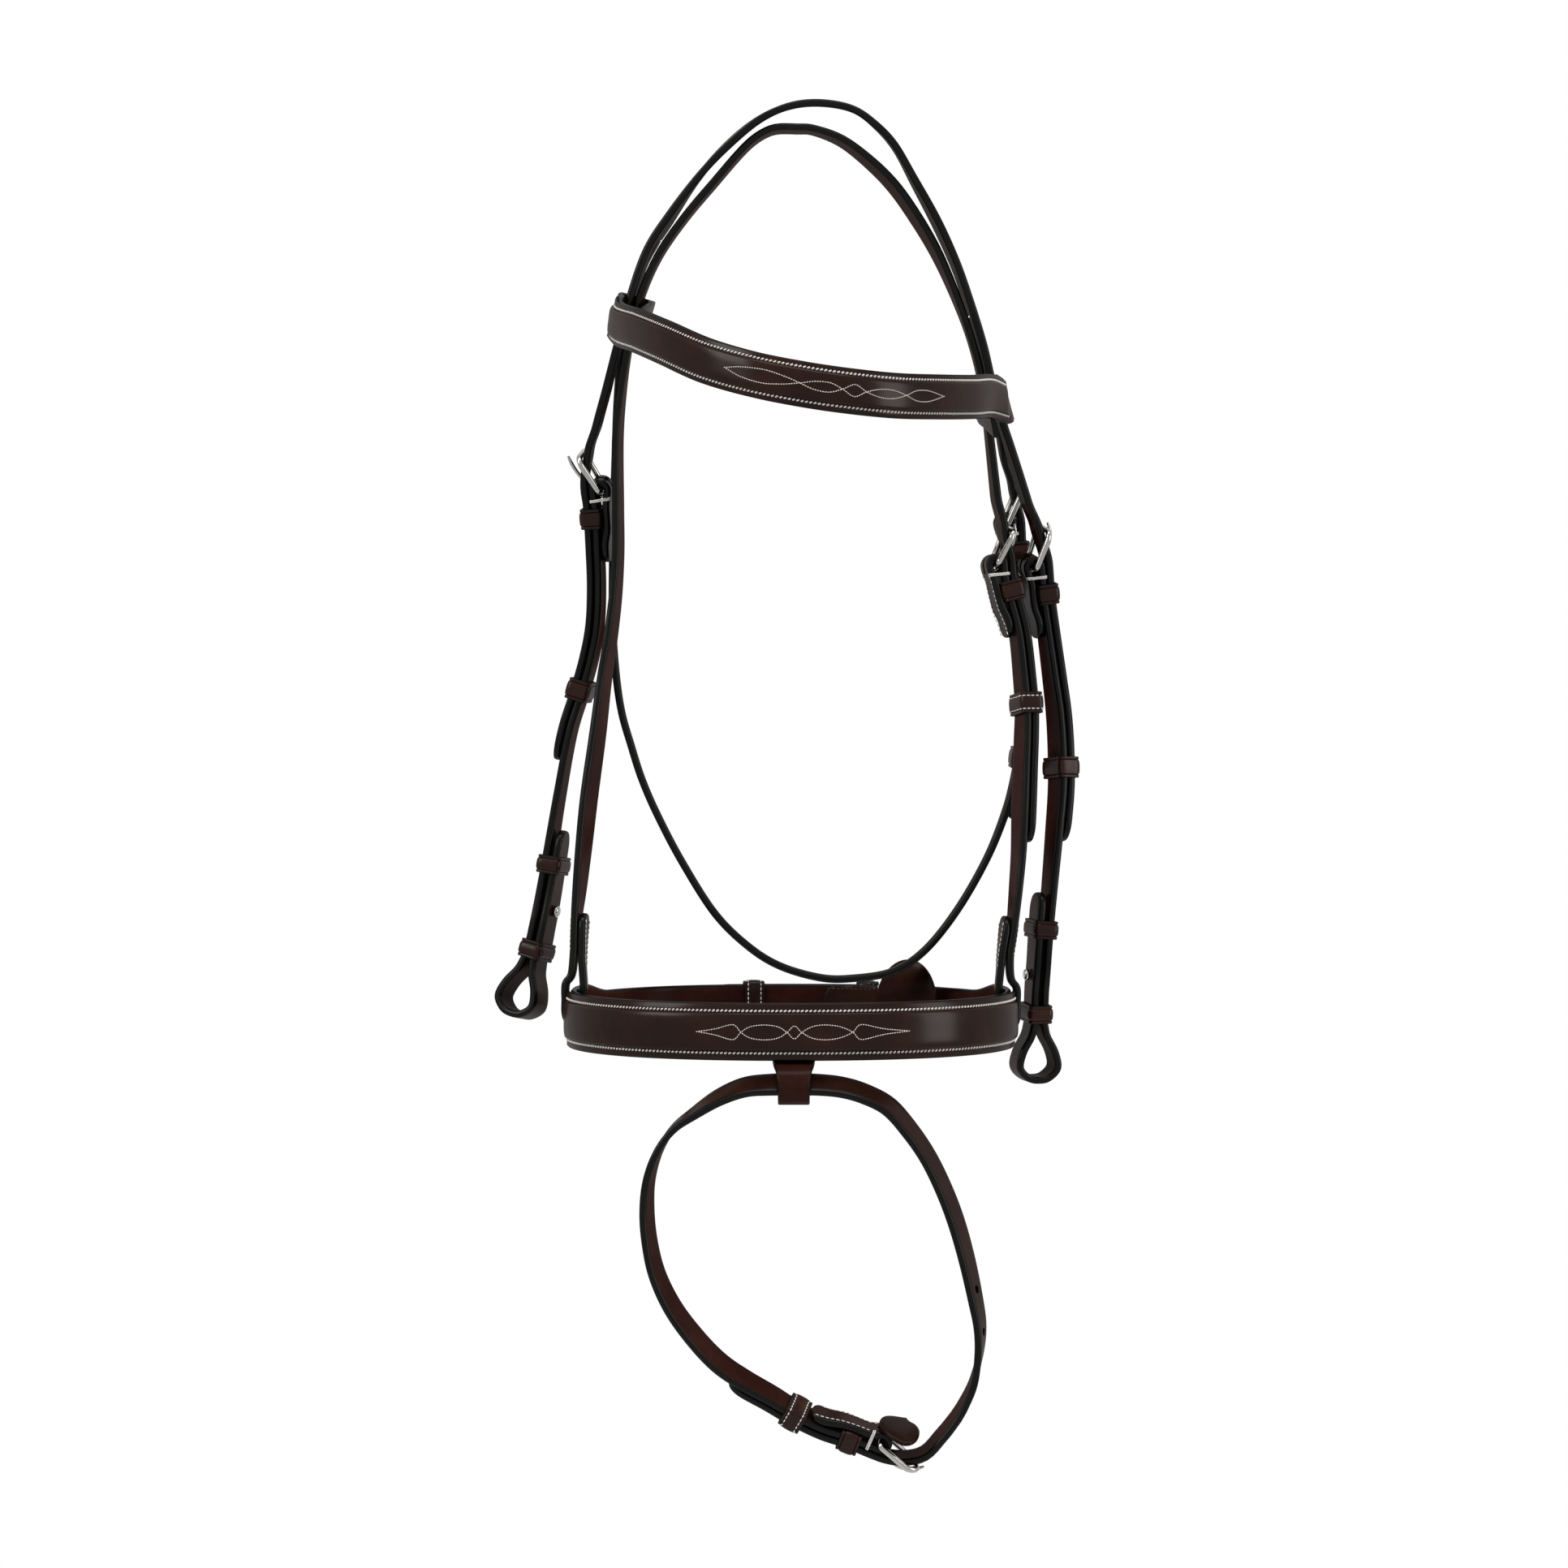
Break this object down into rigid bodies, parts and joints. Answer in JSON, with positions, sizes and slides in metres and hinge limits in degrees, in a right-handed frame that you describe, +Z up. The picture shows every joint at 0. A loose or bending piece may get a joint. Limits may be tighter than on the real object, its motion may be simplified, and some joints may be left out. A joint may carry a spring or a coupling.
{
  "type": "flash noseband bridle",
  "caption": "Leather horse bridle with raised browband, cavesson noseband and flash strap, wire buckles, keepers and hook-stud bit ends, hanging from its crown.",
  "frame": {"origin": "middle of the underside of the noseband's headstall at the poll, where the bridle hangs on its hook", "axes": "+X to the viewer's right as the bridle hangs facing, +Y to the rear, towards the throatlatch, +Z up"},
  "size_m": [0.2916, 0.2413, 0.6626],
  "materials": {
    "havana_leather": "waxed bridle leather, dark brown on the grain side, edges dyed black",
    "stainless_steel": "polished"
  },
  "bodies": {
    "headpiece_and_cheeks": {"headpiece": "havana_leather", "left_bit_keeper_lower": "havana_leather", "left_bit_keeper_upper": "havana_leather", "left_bit_stud": "stainless_steel", "left_cheek_buckle": "stainless_steel", "left_cheek_keeper": "havana_leather", "left_cheekpiece": "havana_leather", "noseband_cheek_buckle": "stainless_steel", "noseband_cheek_keeper": "havana_leather", "noseband_cheekpiece": "havana_leather", "noseband_headstall": "havana_leather", "right_bit_keeper_lower": "havana_leather", "right_bit_keeper_upper": "havana_leather", "right_bit_stud": "stainless_steel", "right_cheek_buckle": "stainless_steel", "right_cheek_keeper": "havana_leather", "right_cheekpiece": "havana_leather", "throatlatch_buckle": "stainless_steel", "throatlatch_keeper": "havana_leather"},
    "browband": {"browband_backing": "havana_leather", "browband_filler": "havana_leather", "browband_front": "havana_leather"},
    "noseband": {"noseband_strap": "havana_leather", "noseband_filler": "havana_leather", "noseband_front": "havana_leather", "noseband_chin_pad": "havana_leather", "noseband_buckle": "stainless_steel", "noseband_keeper": "havana_leather", "flash_tab": "havana_leather"},
    "flash_strap": {"flash_strap": "havana_leather", "flash_chin_pad": "havana_leather", "flash_buckle": "stainless_steel", "flash_keeper": "havana_leather"},
    "left_cheek_tongue": {"left_cheek_tongue": "stainless_steel"},
    "left_cheek_runner": {"left_cheek_runner": "havana_leather"},
    "right_cheek_tongue": {"right_cheek_tongue": "stainless_steel"},
    "right_cheek_runner": {"right_cheek_runner": "havana_leather"},
    "throatlatch_tongue": {"throatlatch_tongue": "stainless_steel"},
    "throatlatch_runner": {"throatlatch_runner": "havana_leather"},
    "noseband_cheek_tongue": {"noseband_cheek_tongue": "stainless_steel"},
    "noseband_cheek_runner": {"noseband_cheek_runner": "havana_leather"},
    "noseband_tongue": {"noseband_tongue": "stainless_steel"},
    "noseband_runner": {"noseband_runner": "havana_leather"},
    "flash_tongue": {"flash_tongue": "stainless_steel"},
    "flash_runner": {"flash_runner": "havana_leather"}
  },
  "joints": [
    {"name": "browband_rock", "type": "hinge", "parent": "headpiece_and_cheeks", "child": "browband", "pos_m": [-0.07666, 0.00036, -0.08882], "axis": [0.974, 0.0204, -0.2258], "range_deg": [-4, 4]},
    {"name": "noseband_tilt", "type": "hinge", "parent": "headpiece_and_cheeks", "child": "noseband", "pos_m": [0.0018, 0, -0.43778], "axis": [1, 0, 0], "range_deg": [-5, 5]},
    {"name": "flash_swing", "type": "hinge", "parent": "noseband", "child": "flash_strap", "pos_m": [0.003, -0.101, -0.46181], "axis": [1, 0, 0], "range_deg": [-45, 45]},
    {"name": "left_cheek_tongue_hinge", "type": "hinge", "parent": "headpiece_and_cheeks", "child": "left_cheek_tongue", "pos_m": [-0.09239, 0.01695, -0.17364], "axis": [-0.061, -0.9706, -0.2328], "range_deg": [0, 9]},
    {"name": "left_cheek_runner_slide", "type": "slide", "parent": "headpiece_and_cheeks", "child": "left_cheek_runner", "axis": [-0.2867, 0.0887, -0.9539], "range_m": [-0.005, 0.005]},
    {"name": "right_cheek_tongue_hinge", "type": "hinge", "parent": "headpiece_and_cheeks", "child": "right_cheek_tongue", "pos_m": [0.1212, 0.01799, -0.21204], "axis": [-0.1921, 0.9617, 0.1957], "range_deg": [0, 9]},
    {"name": "right_cheek_runner_slide", "type": "slide", "parent": "headpiece_and_cheeks", "child": "right_cheek_runner", "axis": [0.0096, -0.0517, -0.9986], "range_m": [-0.0025, 0.004]},
    {"name": "throatlatch_tongue_hinge", "type": "hinge", "parent": "headpiece_and_cheeks", "child": "throatlatch_tongue", "pos_m": [0.10937, 0.04023, -0.18987], "axis": [-0.0836, 0.9862, 0.1431], "range_deg": [0, 9]},
    {"name": "throatlatch_runner_slide", "type": "slide", "parent": "headpiece_and_cheeks", "child": "throatlatch_runner", "axis": [-0.123, 0.0625, -0.9904], "range_m": [-0.005, 0.003]},
    {"name": "noseband_cheek_tongue_hinge", "type": "hinge", "parent": "headpiece_and_cheeks", "child": "noseband_cheek_tongue", "pos_m": [0.10243, 0.00941, -0.21196], "axis": [-0.1691, 0.9844, -0.0491], "range_deg": [0, 9]},
    {"name": "noseband_cheek_runner_slide", "type": "slide", "parent": "headpiece_and_cheeks", "child": "noseband_cheek_runner", "axis": [0.0422, -0.0854, -0.9954], "range_m": [-0.004, 0.005]},
    {"name": "noseband_tongue_hinge", "type": "hinge", "parent": "noseband", "child": "noseband_tongue", "pos_m": [0.05268, 0.0782, -0.43223], "axis": [0.0091, -0.0036, 1], "range_deg": [0, 9]},
    {"name": "noseband_runner_slide", "type": "slide", "parent": "noseband", "child": "noseband_runner", "axis": [-0.9956, -0.0932, -0.0025], "range_m": [-0.005, 0.005]},
    {"name": "flash_tongue_hinge", "type": "hinge", "parent": "flash_strap", "child": "flash_tongue", "pos_m": [0.04443, -0.10194, -0.62812], "axis": [0.099, 0.9664, 0.2371], "range_deg": [0, 9]},
    {"name": "flash_runner_slide", "type": "slide", "parent": "flash_strap", "child": "flash_runner", "axis": [-0.8731, 0, 0.4876], "range_m": [0, 0.005]}
  ]
}
